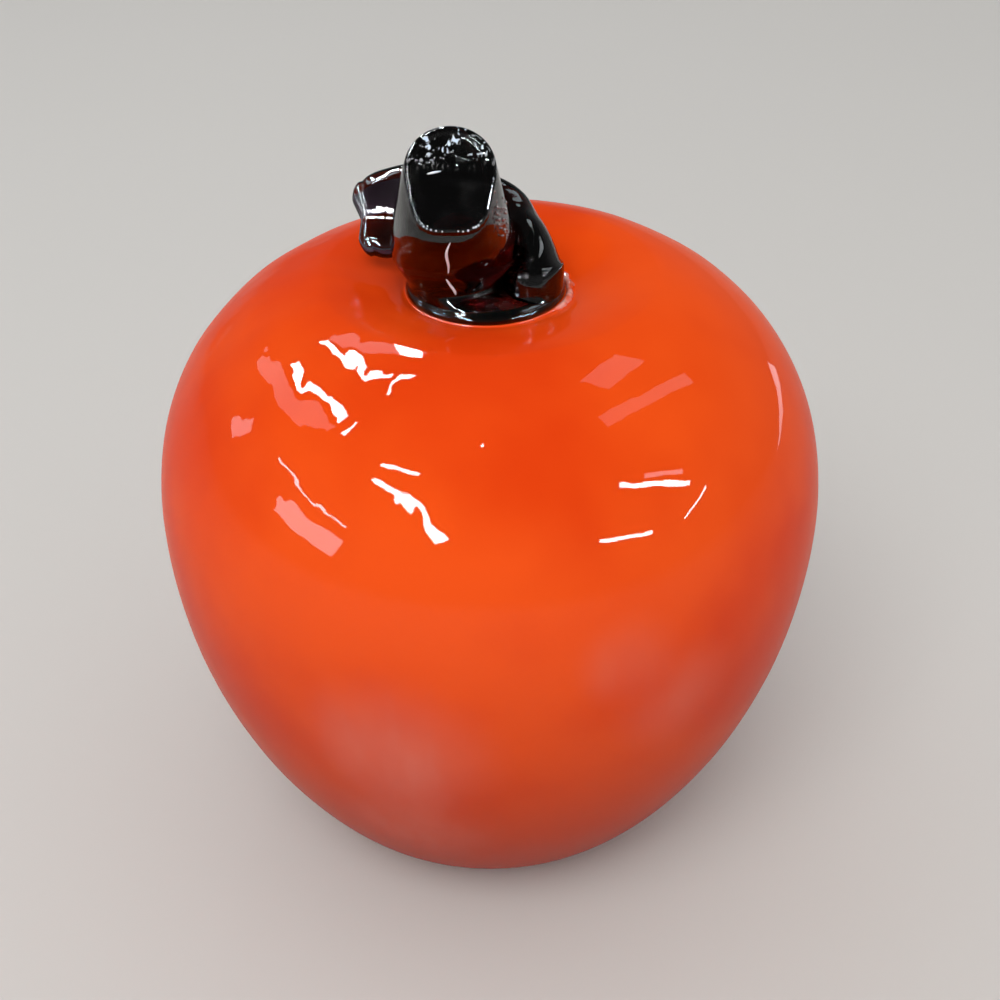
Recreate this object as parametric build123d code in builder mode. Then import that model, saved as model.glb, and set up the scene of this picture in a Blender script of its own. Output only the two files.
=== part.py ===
from build123d import *
import os
from math import cos, hypot, pi, radians, sin

# A hollow art glass apple. Lengths are in millimetres, +Z is up, the front is towards -Y,
# and the origin is the centre of the base, on the surface that the apple stands on.

# Body sizes
body_radius = 46.0
body_height = 88.6
widest_height = 55.2
ring_radius = 17.9
crest_radius = 21.8
dimple_depth = 2.6

# Wall sizes, from the outside in
casing_wall = 2.5
orange_wall = 1.5
lining_wall = 2.0
casing_floor = 5.0
seam = 0.02

# Neck hole, rolled lip and pontil mark
neck_radius = 8.0
seat_margin = 0.15
lip_bead_radius = 0.8
pontil_radius = 9.0
pontil_depth = 0.8

# Stem sizes
foot_radius = 10.4
foot_thickness = 1.4
foot_rounding = 0.9
foot_left = 0.5
foot_forward = 0.4
neck_depth = 13.6
stem_width = 16.0
stem_depth = 14.6
stem_offset = 4.6
end_forward = 8.0
end_rise = 18.6
end_width = 11.2
end_length = 13.4
end_tilt = 50.0
end_rounding = 0.7
plug_drop = 1.6

# Leaf sizes; the gap is what the leaf leaves open between itself and the shank
leaf_reach = 17.2
leaf_rise = 9.8
leaf_width = 12.4
leaf_thickness = 4.8
leaf_roll = 80.0
root_forward = 1.4
root_width = 10.2
root_thickness = 8.0
root_margin = 0.3
leaf_gap = 0.3

# Handles of the body's outline, as shares of the size that each one runs along
base_handle_share = 0.363
belly_low_handle_share = 0.545
belly_high_handle_share = 0.80
crest_handle_share = 0.12
dimple_handle_share = 0.45

# Stem stations above the foot: shares of the offset, the forward reach, the rise, the width,
# the depth and the tilt
stem_shares = [
    (0.97, 0.18, 0.30, 1.00, 1.00, 0.05),
    (1.02, 0.54, 0.66, 0.90, 0.98, 0.46),
]

# Root stations above the foot: shares of the setback, the rise, the width, the thickness and
# the roll, then the lean to the left and to the back
root_shares = [
    (-0.15, 0.41, 0.92, 0.68, 0.00, 0.12, 0.35),
    (0.58, 0.66, 0.62, 0.48, 0.28, 0.90, 0.90),
]

# Blade stations from behind the stem to the tip: how far round to the left, then shares of
# the setback, the rise, the width, the thickness, the roll and the groove
blade_shares = [
    (-0.12, 1.04, 0.93, 0.50, 0.80, 0.80, 0.04),
    (0.16, 1.44, 1.04, 0.54, 0.90, 1.02, 0.08),
    (0.48, 1.42, 0.95, 0.78, 0.90, 1.02, 0.20),
    (0.73, 1.22, 0.79, 0.93, 0.90, 0.80, 0.30),
    (0.90, 0.98, 0.73, 0.93, 0.88, 0.64, 0.30),
    (1.00, 0.90, 0.72, 0.70, 0.60, 0.60, 0.24),
]
end_taper_share = 0.10
end_flat_share = 0.40
end_shares = [(1.0, 0.0), (0.0, 1.0)]
section_points = 12

# Heights and insets that follow from the sizes above
seat_height = body_height - dimple_depth
lip_radius = foot_radius + seam + lip_bead_radius
seat_radius = lip_radius + lip_bead_radius + hypot(foot_left, foot_forward) + seat_margin
orange_inset = casing_wall + seam
lining_inset = orange_inset + orange_wall + seam
hollow_inset = lining_inset + lining_wall
orange_floor = casing_floor + seam
lining_floor = orange_floor + orange_wall + seam
hollow_floor = lining_floor + lining_wall
plug_bottom = seat_height - hollow_inset - plug_drop


def wall_outline(inset, floor):
    """Draw the body's outline, drawn in by inset and lifted to floor; return its two ends."""
    radius = body_radius - inset
    top = body_height - inset
    low_end = (ring_radius, floor)
    belly = (radius, widest_height)
    crest = (crest_radius, top)
    seat = (seat_radius, top - dimple_depth)
    neck = (neck_radius, top - dimple_depth)
    Bezier(
        low_end,
        (ring_radius + base_handle_share * (radius - ring_radius), floor),
        (radius, widest_height - belly_low_handle_share * (widest_height - floor)),
        belly,
    )
    Bezier(
        belly,
        (radius, widest_height + belly_high_handle_share * (top - widest_height)),
        (crest_radius + crest_handle_share * (radius - crest_radius), top),
        crest,
    )
    handle = dimple_handle_share * (crest_radius - seat_radius)
    Bezier(crest, (crest_radius - handle, top), (seat_radius + handle, seat[1]), seat)
    Line(seat, neck)
    return low_end, neck


def layer_section(outer_inset, outer_floor, inner_inset, inner_floor):
    """Half section of one layer of glass between its two outlines, open at the neck."""
    with BuildSketch(Plane.XZ) as section:
        with BuildLine():
            outer_low, outer_neck = wall_outline(outer_inset, outer_floor)
            inner_low, inner_neck = wall_outline(inner_inset, inner_floor)
            Line(outer_neck, inner_neck)
            Polyline(outer_low, (0, outer_floor), (0, inner_floor), inner_low)
        make_face()
    return section.sketch


def rounded_section(plane, width, thickness, groove_share=0.0, taper_share=0.0, flat_share=0.0):
    """Closed oval on a plane, pinched at its middle, narrowed at its front or flattened there."""
    points = []
    for step in range(section_points):
        angle = 2 * pi * step / section_points
        across, through = cos(angle), sin(angle)
        if through < 0:
            through = -(abs(through) ** (1 - flat_share))
        pinch = 1 - groove_share * (1 - across**2) ** 2
        narrow = 1 + taper_share * through
        points.append((width / 2 * across * narrow, thickness / 2 * through * pinch))
    far_side = section_points // 2
    with BuildSketch(plane) as section:
        with BuildLine():
            Spline(*points[: far_side + 1], tangents=[(0, 1), (0, -1)])
            Spline(*points[far_side:], points[0], tangents=[(0, -1), (0, 1)])
        make_face()
    return section.sketch


def tilted_plane(origin, tilt):
    """Level plane at origin, tilted by tilt degrees so that it faces the front."""
    lean = radians(tilt)
    return Plane(origin=origin, x_dir=(1, 0, 0), z_dir=(0, -sin(lean), cos(lean)))


# White opal bubble round the sealed hollow
with BuildPart() as opal_lining:
    revolve(layer_section(lining_inset, lining_floor, hollow_inset, hollow_floor), axis=Axis.Z)

# Orange-red overlay on the bubble
with BuildPart() as orange_layer:
    orange_inside = (lining_inset - seam, lining_floor - seam)
    revolve(layer_section(orange_inset, orange_floor, *orange_inside), axis=Axis.Z)

# Clear casing with the rolled lip round the neck, the ground base ring and the pontil dish
foot_centre = (-foot_left, -foot_forward, seat_height)
pontil_sphere_radius = (pontil_radius**2 + pontil_depth**2) / (2 * pontil_depth)
with BuildPart() as clear_casing:
    revolve(layer_section(0, 0, casing_wall, casing_floor), axis=Axis.Z)
    with Locations(foot_centre):
        Torus(lip_radius, lip_bead_radius)
    with Locations((0, 0, pontil_depth - pontil_sphere_radius)):
        Sphere(pontil_sphere_radius, mode=Mode.SUBTRACT)

# Stem: round foot, leaning shank with a sheared end, and the plug that seals the neck
foot_top = seat_height + foot_thickness
neck_width = 2 * (foot_radius - foot_rounding - root_margin) - root_thickness
neck_left = foot_left + foot_radius - foot_rounding - neck_width / 2
with BuildPart() as stem:
    with BuildSketch(Plane.XY.offset(seat_height + seam)):
        with Locations((-foot_left, -foot_forward)):
            Circle(foot_radius)
    extrude(amount=foot_thickness - seam)
    fillet(stem.edges().sort_by(Axis.Z)[-1], foot_rounding)
    with BuildSketch(Plane.XY.offset(plug_bottom)):
        Circle(neck_radius - seam)
    extrude(amount=seat_height + seam - plug_bottom)
    fillet(stem.edges().sort_by(Axis.Z)[0], plug_drop)
    neck_plane = Plane((-neck_left, -foot_forward - foot_rounding, foot_top))
    stem_sections = [rounded_section(neck_plane, neck_width, neck_depth)]
    for side, forward, rise, width, depth, tilt in stem_shares:
        centre = (-side * stem_offset, -forward * end_forward, seat_height + rise * end_rise)
        plane = tilted_plane(centre, tilt * end_tilt)
        form = {"taper_share": tilt * end_taper_share, "flat_share": tilt * end_flat_share}
        stem_sections.append(rounded_section(plane, width * stem_width, depth * stem_depth, **form))
    end_plane = tilted_plane((-stem_offset, -end_forward, seat_height + end_rise), end_tilt)
    for back_share, inward_share in end_shares:
        plane = end_plane.offset(-back_share * end_rounding)
        inward = 2 * inward_share * end_rounding
        end_size = (end_width - inward, end_length - inward)
        form = {"taper_share": end_taper_share, "flat_share": end_flat_share}
        stem_sections.append(rounded_section(plane, *end_size, **form))
    loft(stem_sections)

# Leaf: root on the right of the foot, ribbon behind the stem, grooved blade at the left
root_side = foot_radius - foot_left - root_margin - root_thickness / 2
stem_right = stem_width / 2 - stem_offset
stem_back = stem_depth / 2 - stem_shares[1][1] * end_forward
leaf_setback = stem_back + leaf_thickness / 2 + leaf_gap
leaf_stations = [
    ((root_side, -root_forward, foot_top + seam), root_width, root_thickness, 0, 0)
]
directions = [Vector(0, 0, 1)]
for back, rise, width, thickness, roll, left_lean, back_lean in root_shares:
    side = stem_right + leaf_gap + thickness * root_thickness / 2
    place = (side, back * leaf_setback, seat_height + rise * leaf_rise)
    leaf_stations.append((place, width * root_width, thickness * root_thickness, roll, 0))
    directions.append(Vector(-left_lean, back_lean, 1))
for side, back, rise, width, thickness, roll, groove in blade_shares:
    place = (-side * leaf_reach, back * leaf_setback, seat_height + rise * leaf_rise)
    leaf_stations.append((place, width * leaf_width, thickness * leaf_thickness, roll, groove))
places = [Vector(*station[0]) for station in leaf_stations]
for index in range(len(directions), len(places)):
    directions.append(places[min(index + 1, len(places) - 1)] - places[index - 1])

with BuildPart() as leaf:
    leaf_sections = []
    for (place, width, thickness, roll, groove), direction in zip(leaf_stations, directions):
        angle = radians(roll * leaf_roll)
        plane = Plane(origin=place, x_dir=(0, cos(angle), sin(angle)), z_dir=direction)
        leaf_sections.append(rounded_section(plane, width, thickness, groove_share=groove))
    loft(leaf_sections)

opal_lining.part.label = "opal_lining"
orange_layer.part.label = "orange_layer"
clear_casing.part.label = "clear_casing"
stem.part.label = "stem"
leaf.part.label = "leaf"

os.makedirs("parts", exist_ok=True)
export_step(opal_lining.part, "parts/opal_lining.step")
export_step(orange_layer.part, "parts/orange_layer.step")
export_step(clear_casing.part, "parts/clear_casing.step")
export_step(stem.part, "parts/stem.step")
export_step(leaf.part, "parts/leaf.step")
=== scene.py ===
"""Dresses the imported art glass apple: cased body, rolled lip, amethyst stem and leaf, studio."""

from math import cos, pi, radians, sin, sqrt

import bmesh
import bpy
from bpy.props import FloatProperty, FloatVectorProperty, IntProperty, PointerProperty
from mathutils import Matrix, Vector, noise


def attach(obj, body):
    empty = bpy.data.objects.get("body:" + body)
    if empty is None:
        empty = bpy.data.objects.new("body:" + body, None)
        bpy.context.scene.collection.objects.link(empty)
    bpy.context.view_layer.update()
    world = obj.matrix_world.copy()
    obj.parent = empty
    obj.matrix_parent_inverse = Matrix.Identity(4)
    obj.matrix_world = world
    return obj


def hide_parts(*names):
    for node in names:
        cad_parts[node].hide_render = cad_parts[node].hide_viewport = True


bl_info = {
    "name": "Art glass apple",
    "version": (1, 0, 0),
    "blender": (4, 5, 0),
    "location": "3D View > Sidebar > Glass apple",
    "description": "Builds the glass surfaces of a hollow cased apple, its stem and its leaf",
    "category": "Add Mesh",
}

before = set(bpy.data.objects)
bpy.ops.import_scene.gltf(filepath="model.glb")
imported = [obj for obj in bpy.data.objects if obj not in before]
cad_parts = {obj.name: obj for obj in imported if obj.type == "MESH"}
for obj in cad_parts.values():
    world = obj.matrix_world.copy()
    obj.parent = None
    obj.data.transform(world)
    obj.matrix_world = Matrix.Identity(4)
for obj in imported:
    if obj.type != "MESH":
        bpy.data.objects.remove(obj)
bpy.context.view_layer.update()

# Nodes of the CAD model: the wall's three layers, outermost first, then the two worked bits
CASING_NODE = "clear_casing"
OVERLAY_NODE = "orange_layer"
BUBBLE_NODE = "opal_lining"
STEM_NODE = "stem"
LEAF_NODE = "leaf"

UP = Vector((0, 0, 1))
ACROSS = Vector((1, 0, 0))

# Points round the body, round the lip and its roll, and round the stem, the leaf and a thread
BODY_TURNS = 288
LIP_TURNS = 240
LIP_BEAD_TURNS = 16
STEM_TURNS = 128
LEAF_TURNS = 96
THREAD_TURNS = 10

# Steps along the pontil dish, the flat base, each half of the outline outside and inside, each
# gap between stations of the shank and the leaf, the sheared face and a thread
DISH_STEPS = 14
BASE_STEPS = 6
OUTER_STEPS = 64
INNER_STEPS = 24
SHANK_STEPS = 10
LEAF_STEPS = 9
FACE_STEPS = 22
THREAD_STEPS = 25

# Handles of the body's outline, as shares of the size that each one runs along
BASE_HANDLE = 0.363
BELLY_LOW_HANDLE = 0.545
BELLY_HIGH_HANDLE = 0.80
CREST_HANDLE = 0.12
DIMPLE_HANDLE = 0.45
DIMPLE_END_HANDLE = 0.22
DIMPLE_END_RISE = 0.50
SEAT_SHARES = (0.35, 0.7, 1.0)

# Lumps of the body fade out towards the base and the seat and are strongest on the shoulder:
# ranges as shares of the height, of the seat's radius above SEAT_LEVEL, and of the height
BASE_FADE = (0.05, 0.2)
SEAT_FADE = (1.05, 1.5)
SEAT_LEVEL = 0.8
SHOULDER_RANGE = (0.74, 0.93)

# Broad swells and tools' hollows: waves to a body radius, where each one starts, and strengths:
# of the swells, of the hollows all over, of those on the shoulder and of the right's share there
SWELL_WAVES = 1.6
SWELL_START = Vector((3.1, 7.7, 1.3))
SWELL_SHARE = 0.30
HOLLOW_WAVES = 4.6
HOLLOW_START = Vector((9.2, 4.1, 6.5))
HOLLOW_SHARE = 0.10
SHOULDER_SHARE = 0.60
RIGHT_SHARE = 0.22

# Rolled lip, as shares of the bead radius: its size all round and what the front, the right and
# the beads there add, then its reach past the foot and what the right and the beads add; then
# the heading of its right, the cosines and sines where right and front begin and are full, and
# the waves of noise to a bead
LIP_SIZES = (0.10, 0.10, 0.18, 0.66)
LIP_REACHES = (0.05, 0.35, 0.75)
LIP_RIGHT = radians(4)
LIP_RIGHT_RANGE = (0.70, 0.92)
LIP_FRONT_RANGE = (0.2, 0.9)
LIP_WAVES = 0.5

# Rings of the plug, from below up: shares of its radius and of its length
PLUG_RINGS = [(0.35, 0.0), (0.62, 0.02), (0.84, 0.09), (0.96, 0.2), (1.0, 0.34), (1.0, 0.97)]

# Rings of the foot, from its underside up: share of the foot's radius, share of its thickness
FOOT_RINGS = [
    (0.955, -0.04),
    (0.985, 0.10),
    (1.000, 0.30),
    (0.998, 0.50),
    (0.980, 0.70),
    (0.945, 0.88),
]

# Rings between foot and neck: height above the foot's top as a share of its thickness, and how
# far the ring has closed in on the neck; then the neck's height above the seat as such a share
FLARE_RINGS = [
    (0.04, 0.12),
    (0.22, 0.30),
    (0.40, 0.50),
    (0.58, 0.70),
    (0.80, 0.88),
    (1.10, 1.00),
]
NECK_RISE = 2.1

# Shank stations above the seat: shares of the offset, the forward reach, the rise, the width,
# the depth and the tilt
SHANK_STATIONS = [
    (0.97, 0.18, 0.300, 0.995, 1.00, 0.05),
    (0.99, 0.34, 0.480, 0.975, 1.00, 0.22),
    (1.02, 0.54, 0.660, 0.885, 0.98, 0.46),
    (1.02, 0.77, 0.842, 0.780, 0.95, 0.75),
]

# The sheared end: how much it narrows and how far it is squared off towards the front, the
# bends of its rounded rim in degrees, and where its pucker starts and is full, as shares of it;
# then waves to a metre, and depths of dish, pucker and fine pucker as shares of the rounding
END_TAPER = 0.16
END_FLAT = 0.42
RIM_BENDS = (25, 50, 75, 90)
PUCKER_RANGE = (0.08, 0.30)
PUCKER_WAVES = 620
FINE_WAVES = 2.3
FINE_START = Vector((5, 3, 1))
DISH_SHARE = 0.35
PUCKER_SHARE = 0.55
FINE_SHARE = 0.30
RIM_SHARE = 0.12

# Rings of the dark core's foot: share of the foot's radius, share of its thickness
CORE_FOOT_RINGS = [
    (0.50, 0.00),
    (0.955, 0.00),
    (0.985, 0.16),
    (0.994, 0.32),
    (0.991, 0.50),
    (0.973, 0.69),
    (0.940, 0.86),
]

# The dark core: size and height of its flare as shares of the glass's, then its width and depth
# as shares of the shank's, from the neck up
CORE_FLARE = 0.985
CORE_FLARE_RISE = 0.95
CORE_SHARES = [
    (0.95, 0.96),
    (0.84, 0.95),
    (0.82, 0.95),
    (0.84, 0.96),
    (0.89, 0.97),
    (0.985, 0.985),
]

# Painted highlights: pale threads on the front of the shank, which stand a tenth of a millimetre
# proud of it: lower and upper end as shares of the shank's rings, both ends as shares of a turn,
# depth of the thread's middle under the surface and its radius in metres; then how far they waver,
# in turns, and how fast
HIGHLIGHT_THREADS = [
    (0.30, 0.86, 0.741, 0.750, 0.00009, 0.00019),
    (0.00, 0.22, 0.766, 0.733, 0.00009, 0.00022),
]
THREAD_WAVER = 0.0018
THREAD_WAVES = 7

# Seed bubbles: their middle as shares of the stem's offset, forward reach and rise, and how far
# they scatter in metres; then the smallest as a share of the largest
BUBBLE_MIDDLE = (0.22, -1.02, 0.73)
BUBBLE_SCATTER = (0.0022, 0.0010, 0.0052)
SMALLEST_BUBBLE = 0.35

# Nick on the sheared end, painted pale as a glint: place across and up the end as shares of its
# width and length, depth in metres, turn, and how far a bead is drawn out along, across and out of
# the face
NICK_PLACE = (-0.17, 0.06, 0.00012)
NICK_TURN = radians(12)
NICK_SHAPE = (5.5, 0.9, 0.9, 1.0)

# Beads on the cut lip, painted pale as glints: points round the rim, the half of its width that
# carries beads as a share of the width, how far a bead strays along the rim as a share of their
# spacing and up the face in metres, its depth as a share of the rounding, its smallest size as a
# share of the radius and what chance adds, and how far chance draws it out
BEAD_RIM_TURNS = 480
BEAD_SPAN = 0.33
BEAD_STRAY_ALONG = 0.6
BEAD_STRAY_UP = 0.0002
BEAD_DEPTH = 0.35
BEAD_SIZES = (0.55, 0.75)
BEAD_STRETCH = 1.2

# Repeatable chance for bubbles and beads: where each draw starts, and its pace to the next one
DRAWS = {
    "bubble_side": ((0.0, 2.1, 0.4), (1.37, 0, 0)),
    "bubble_forward": ((0.7, 0.0, 5.2), (0, 1.71, 0)),
    "bubble_height": ((3.3, 8.8, 0.0), (0, 0, 1.13)),
    "bubble_size": ((0.0, 4.4, 1.9), (0.91, 0, 0)),
    "bead_place": ((0.0, 3.1, 7.7), (1.9, 0, 0)),
    "bead_size": ((0.0, 0.4, 1.1), (2.3, 0, 0)),
}

# Root stations: 1 where the rise counts from the foot's top and 0 where it counts from the seat,
# side, forward and rise as shares of the leaf's own sizes, width and thickness shares, then the
# lean to the left and to the back
ROOT_STATIONS = [
    (1, 0.96, -1.05, -0.02, 1.16, 1.10, 0.00, 0.00),
    (1, 0.98, -1.00, 0.06, 1.10, 1.08, 0.00, 0.02),
    (1, 1.00, -0.90, 0.24, 1.02, 1.04, 0.05, 0.18),
    (0, 0.98, -0.55, 0.44, 0.90, 0.92, 0.12, 0.35),
    (0, 0.79, 1.60, 0.74, 0.68, 0.66, 0.60, 0.90),
]

# Blade stations from behind the stem to the tip: how far round to the left, then shares of
# the setback, the rise, the width, the thickness, the roll and the groove
BLADE_STATIONS = [
    (-0.06, 0.76, 0.96, 0.58, 1.00, 0.74, 0.06),
    (0.20, 1.02, 1.05, 0.62, 1.00, 0.98, 0.10),
    (0.48, 0.97, 0.99, 0.82, 0.98, 0.88, 0.30),
    (0.68, 0.93, 0.86, 0.95, 1.04, 0.72, 0.46),
    (0.84, 0.90, 0.78, 0.93, 1.00, 0.64, 0.52),
    (0.915, 0.88, 0.76, 0.84, 0.80, 0.60, 0.50),
]

# How strongly the blade's sections follow its way, then the rounded tip: its bends in degrees,
# its narrowest width as a share, the bulge of its middle as a share of its lobes' and where these
# rise across the width; then the depth of the pincers' marks as a share, and their waves
BLADE_PULL = 1.4
TIP_BENDS = (15, 30, 45, 60, 72, 82)
TIP_WIDTH = 0.35
TIP_MIDDLE = 0.55
TIP_LOBE_RANGE = (0.02, 0.30)
PINCER_DEPTH = 0.05
PINCER_WAVES = 260

# Painted reflections: pale patches on the lower body, where the glare on the table is mirrored,
# painted into the overlay's colour: side, forward and height as shares of the body's radius and
# height, then the reach of the patch as a share of the radius and its strength
GLARE_PATCHES = [
    (-0.24, -0.93, 0.50, 0.34, 0.62),
    (-0.22, -0.84, 0.30, 0.30, 0.34),
    (0.36, -0.92, 0.66, 0.18, 0.30),
    (0.50, -0.84, 0.56, 0.24, 0.26),
]

# Painted shade, darkening the overlay towards the base: its strength, and the height where it
# ends as a share; the frosted base: heights in metres where it is full and gone, how far it covers
# and dulls the overlay, and its colour
BASE_SHADE = (0.95, 0.80)
GROUND_RANGE = (0.00008, 0.0004)
GROUND_COVER = 0.55
GROUND_DULL = 0.3
GROUND_COLOUR = (0.80, 0.36, 0.26)

# Matt spot pressed beside the lip: side, back and depth under the shoulder, then where its
# reach starts and ends
PRESSED_PLACE = (0.0098, 0.0078, 0.0012)
PRESSED_RANGE = (0.0052, 0.0076)

# Strength of the tool marks: from the left to the right of the body and from below its shoulder
# to the crest, each as shares of the radius or height and the strength at both ends
MARKS_ACROSS = (-0.55, 0.30, 1.0, 0.22)
MARKS_UP = (0.78, 0.90, 0.15, 1.0)

# Painted highlights on the sheared end: pale blue-white flecks of sparkle, how deep under its
# plane they start and are full, in metres, and how far up its slope, as shares of its length
SPARKLE_DEPTHS = (-0.0014, -0.0009)
SPARKLE_SLOPES = (0.06, 0.34)
SPARKLE_COLOUR = (0.66, 0.78, 0.96)

# Glass: refraction, how much of its mirroring is kept, and its own faint colour
GLASS_IOR = 1.5
AMETHYST_MIRROR = 0.28
CLEAR_AMETHYST = (0.97, 0.94, 0.96)

# Pink beads of the lip, clearer glass with the white that they mirror painted in, stand where its
# right side is, from here to here in metres; then the roughness of the lip's orange and of its
# beads
PINK_RANGE = (0.0075, 0.0100)
LIP_ROUGHNESS = (0.20, 0.08)

# Pairs of colours that a grain runs between, the beads' and the threads' pairs painted highlights,
# and the roughness of the threads' two
OPAL_COLOURS = ((0.93, 0.92, 0.88), (0.82, 0.83, 0.84))
CORE_COLOURS = ((1.0, 0.93, 0.94), (0.72, 0.55, 0.60))
GLINT_BEAD_COLOURS = ((0.62, 0.70, 0.85), (0.88, 0.90, 0.95))
HIGHLIGHT_THREAD_COLOURS = ((0.78, 0.76, 0.84), (0.93, 0.90, 0.96))
THREAD_ROUGHNESS = (0.35, 0.20)
FLOOR_SHADE = 0.985

EVEN = (1.0, 1.0, 1.0)

# Grains in the glass: waves to a metre, fine detail, stretch, the range of the noise that is
# spread out, and the values at its two ends
GRAINS = {
    "casing_clouds": (30.0, 3.0, EVEN, 0.32, 0.66, 0.0, 1.0),
    "glare_streaks": (120.0, 3.0, (1.0, 1.0, 0.35), 0.30, 0.70, 0.55, 1.0),
    "casing_smudges": (70.0, 4.0, EVEN, 0.35, 0.75, 0.30, 0.42),
    "casing_polish": (48.0, 3.0, EVEN, 0.40, 0.72, 0.010, 0.035),
    "base_scratches": (900.0, 4.0, EVEN, 0.3, 0.7, 0.28, 0.42),
    "overlay_clouds": (34.0, 3.0, EVEN, 0.30, 0.66, 0.0, 1.0),
    "overlay_shine": (260.0, 2.0, EVEN, 0.3, 0.7, 0.10, 0.22),
    "opal_swirls": (45.0, 4.0, (1.0, 1.0, 0.4), 0.35, 0.7, 0.0, 1.0),
    "opal_shine": (45.0, 4.0, (1.0, 1.0, 0.4), 0.3, 0.7, 0.12, 0.24),
    "amethyst_shine": (300.0, 2.0, EVEN, 0.4, 0.75, 0.0, 0.06),
    "shear_sparkles": (2300.0, 2.0, (1.0, 0.5, 0.8), 0.56, 0.60, 0.0, 1.0),
    "sparkle_patches": (520.0, 1.0, EVEN, 0.42, 0.52, 0.0, 1.0),
    "core_wisps": (210.0, 3.0, (1.0, 1.0, 0.3), 0.35, 0.70, 0.0, 1.0),
    "highlight_shimmer": (700.0, 2.0, EVEN, 0.35, 0.65, 0.0, 1.0),
    "glint_mottle": (1200.0, 2.0, EVEN, 0.35, 0.65, 0.0, 1.0),
    "lip_beads": (520.0, 1.0, EVEN, 0.42, 0.62, 0.0, 1.0),
    "floor_mottle": (3.0, 2.0, EVEN, 0.3, 0.7, 0.0, 1.0),
}

# Reliefs of the surfaces: waves to a metre, fine detail, stretch and depth in metres
RELIEFS = {
    "casing_swell": (42.0, 1.0, EVEN, 0.00020),
    "tool_marks": (165.0, 1.5, EVEN, 0.00030),
    "casing_skin": (420.0, 2.0, EVEN, 0.0000035),
    "overlay_swell": (60.0, 1.0, EVEN, 0.0001),
    "opal_swell": (55.0, 1.0, EVEN, 0.0001),
    "amethyst_swell": (130.0, 1.0, (1.0, 1.0, 0.5), 0.00012),
    "stem_skin": (900.0, 3.0, EVEN, 0.00002),
    "leaf_skin": (700.0, 3.0, EVEN, 0.00003),
    "lip_skin": (700.0, 2.0, EVEN, 0.00008),
}

# Lamps: the headings of both ends (azimuth, elevation), width in degrees and brightness. The key
# lights the colours; the others are the windows and tubes that the glass mirrors.
LAMPS = {
    "key_panel": ((-42, 46), (8, 50), 27.0, 4.0),
    "left_tube": ((-128.0, 38.6), (-86.6, 50.2), 3.0, 68.0),
    "back_tube_low": ((-140.6, 41.0), (-123.2, 55.3), 2.2, 68.0),
    "back_tube_high": ((-123.2, 55.3), (-130.9, 65.4), 2.2, 68.0),
    "back_hook": ((-104.6, 67.0), (-135.7, 69.0), 1.8, 68.0),
    "bright_spot": ((-160.1, 56.2), (-168.6, 44.2), 4.2, 68.0),
    "left_dots": ((-78.6, 54.4), (-72.5, 45.9), 1.8, 68.0),
    "front_dots": ((-13.0, 71.6), (-10.7, 70.4), 1.6, 68.0),
    "low_left_tube_high": ((-50.2, 44.3), (-35.2, 41.6), 2.8, 68.0),
    "low_left_tube_low": ((-35.2, 41.6), (-17.5, 22.8), 3.0, 68.0),
    "upper_dash": ((-52.6, 51.0), (-36.0, 52.4), 2.0, 60.0),
    "thin_left_tube": ((-83.8, 24.7), (-50.5, 19.0), 0.8, 34.0),
    "left_card": ((-72.3, 12.9), (-50.1, 8.3), 6.0, 11.0),
    "left_patch": ((-107.4, 16.3), (-101.5, 13.7), 6.0, 6.0),
    "left_wedge": ((-126.4, 27.0), (-82.0, 44.0), 7.0, 3.6),
    "back_card": ((-140.0, 46.0), (-166.0, 50.0), 10.0, 4.0),
    "right_card_high": ((116.0, 64.0), (136.0, 51.0), 8.0, 2.6),
    "right_card_low": ((78.0, 60.0), (118.0, 37.0), 5.0, 2.6),
    "right_tube": ((53.1, 35.8), (73.7, 20.3), 2.0, 68.0),
    "right_glint": ((61.2, 35.0), (74.3, 26.2), 2.2, 9.0),
    "low_right_tube": ((36.3, 18.6), (54.6, 14.3), 1.5, 58.0),
    "small_right_tube": ((66.5, 11.4), (78.8, 13.8), 0.8, 48.0),
    "right_window": ((136.0, -1.7), (114.1, -6.7), 5.0, 4.0),
}
KEY_LAMP = "key_panel"
KEY_COLOUR = (1.0, 0.985, 0.96)
MIRRORED_LAMP_COLOUR = (0.90, 0.94, 1.0)

# World: the soft light's colour, the pale backdrop, what opaque gloss mirrors low and high, and
# the heights between which that darkens
FILL_COLOUR = (1.0, 0.99, 0.97, 1.0)
BACKDROP_COLOUR = (0.86, 0.85, 0.83)
MIRRORED_LOW = (0.26, 0.26, 0.26)
MIRRORED_HIGH = (0.07, 0.07, 0.07)
MIRRORED_RANGE = (0.05, 0.75)


# Sizes and colours ---


def in_metres(name, description, default):
    """A length."""
    return FloatProperty(name=name, description=description, default=default, unit="LENGTH")


def in_degrees(name, description, default):
    """An angle, given in degrees."""
    turn = radians(default)
    return FloatProperty(name=name, description=description, default=turn, subtype="ANGLE")


def amount(name, description, default):
    """A plain number."""
    return FloatProperty(name=name, description=description, default=default)


def how_many(name, description, default):
    """A whole number."""
    return IntProperty(name=name, description=description, default=default)


def tinted(name, description, default):
    """A colour."""
    return FloatVectorProperty(
        name=name, description=description, default=default, subtype="COLOR"
    )


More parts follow.
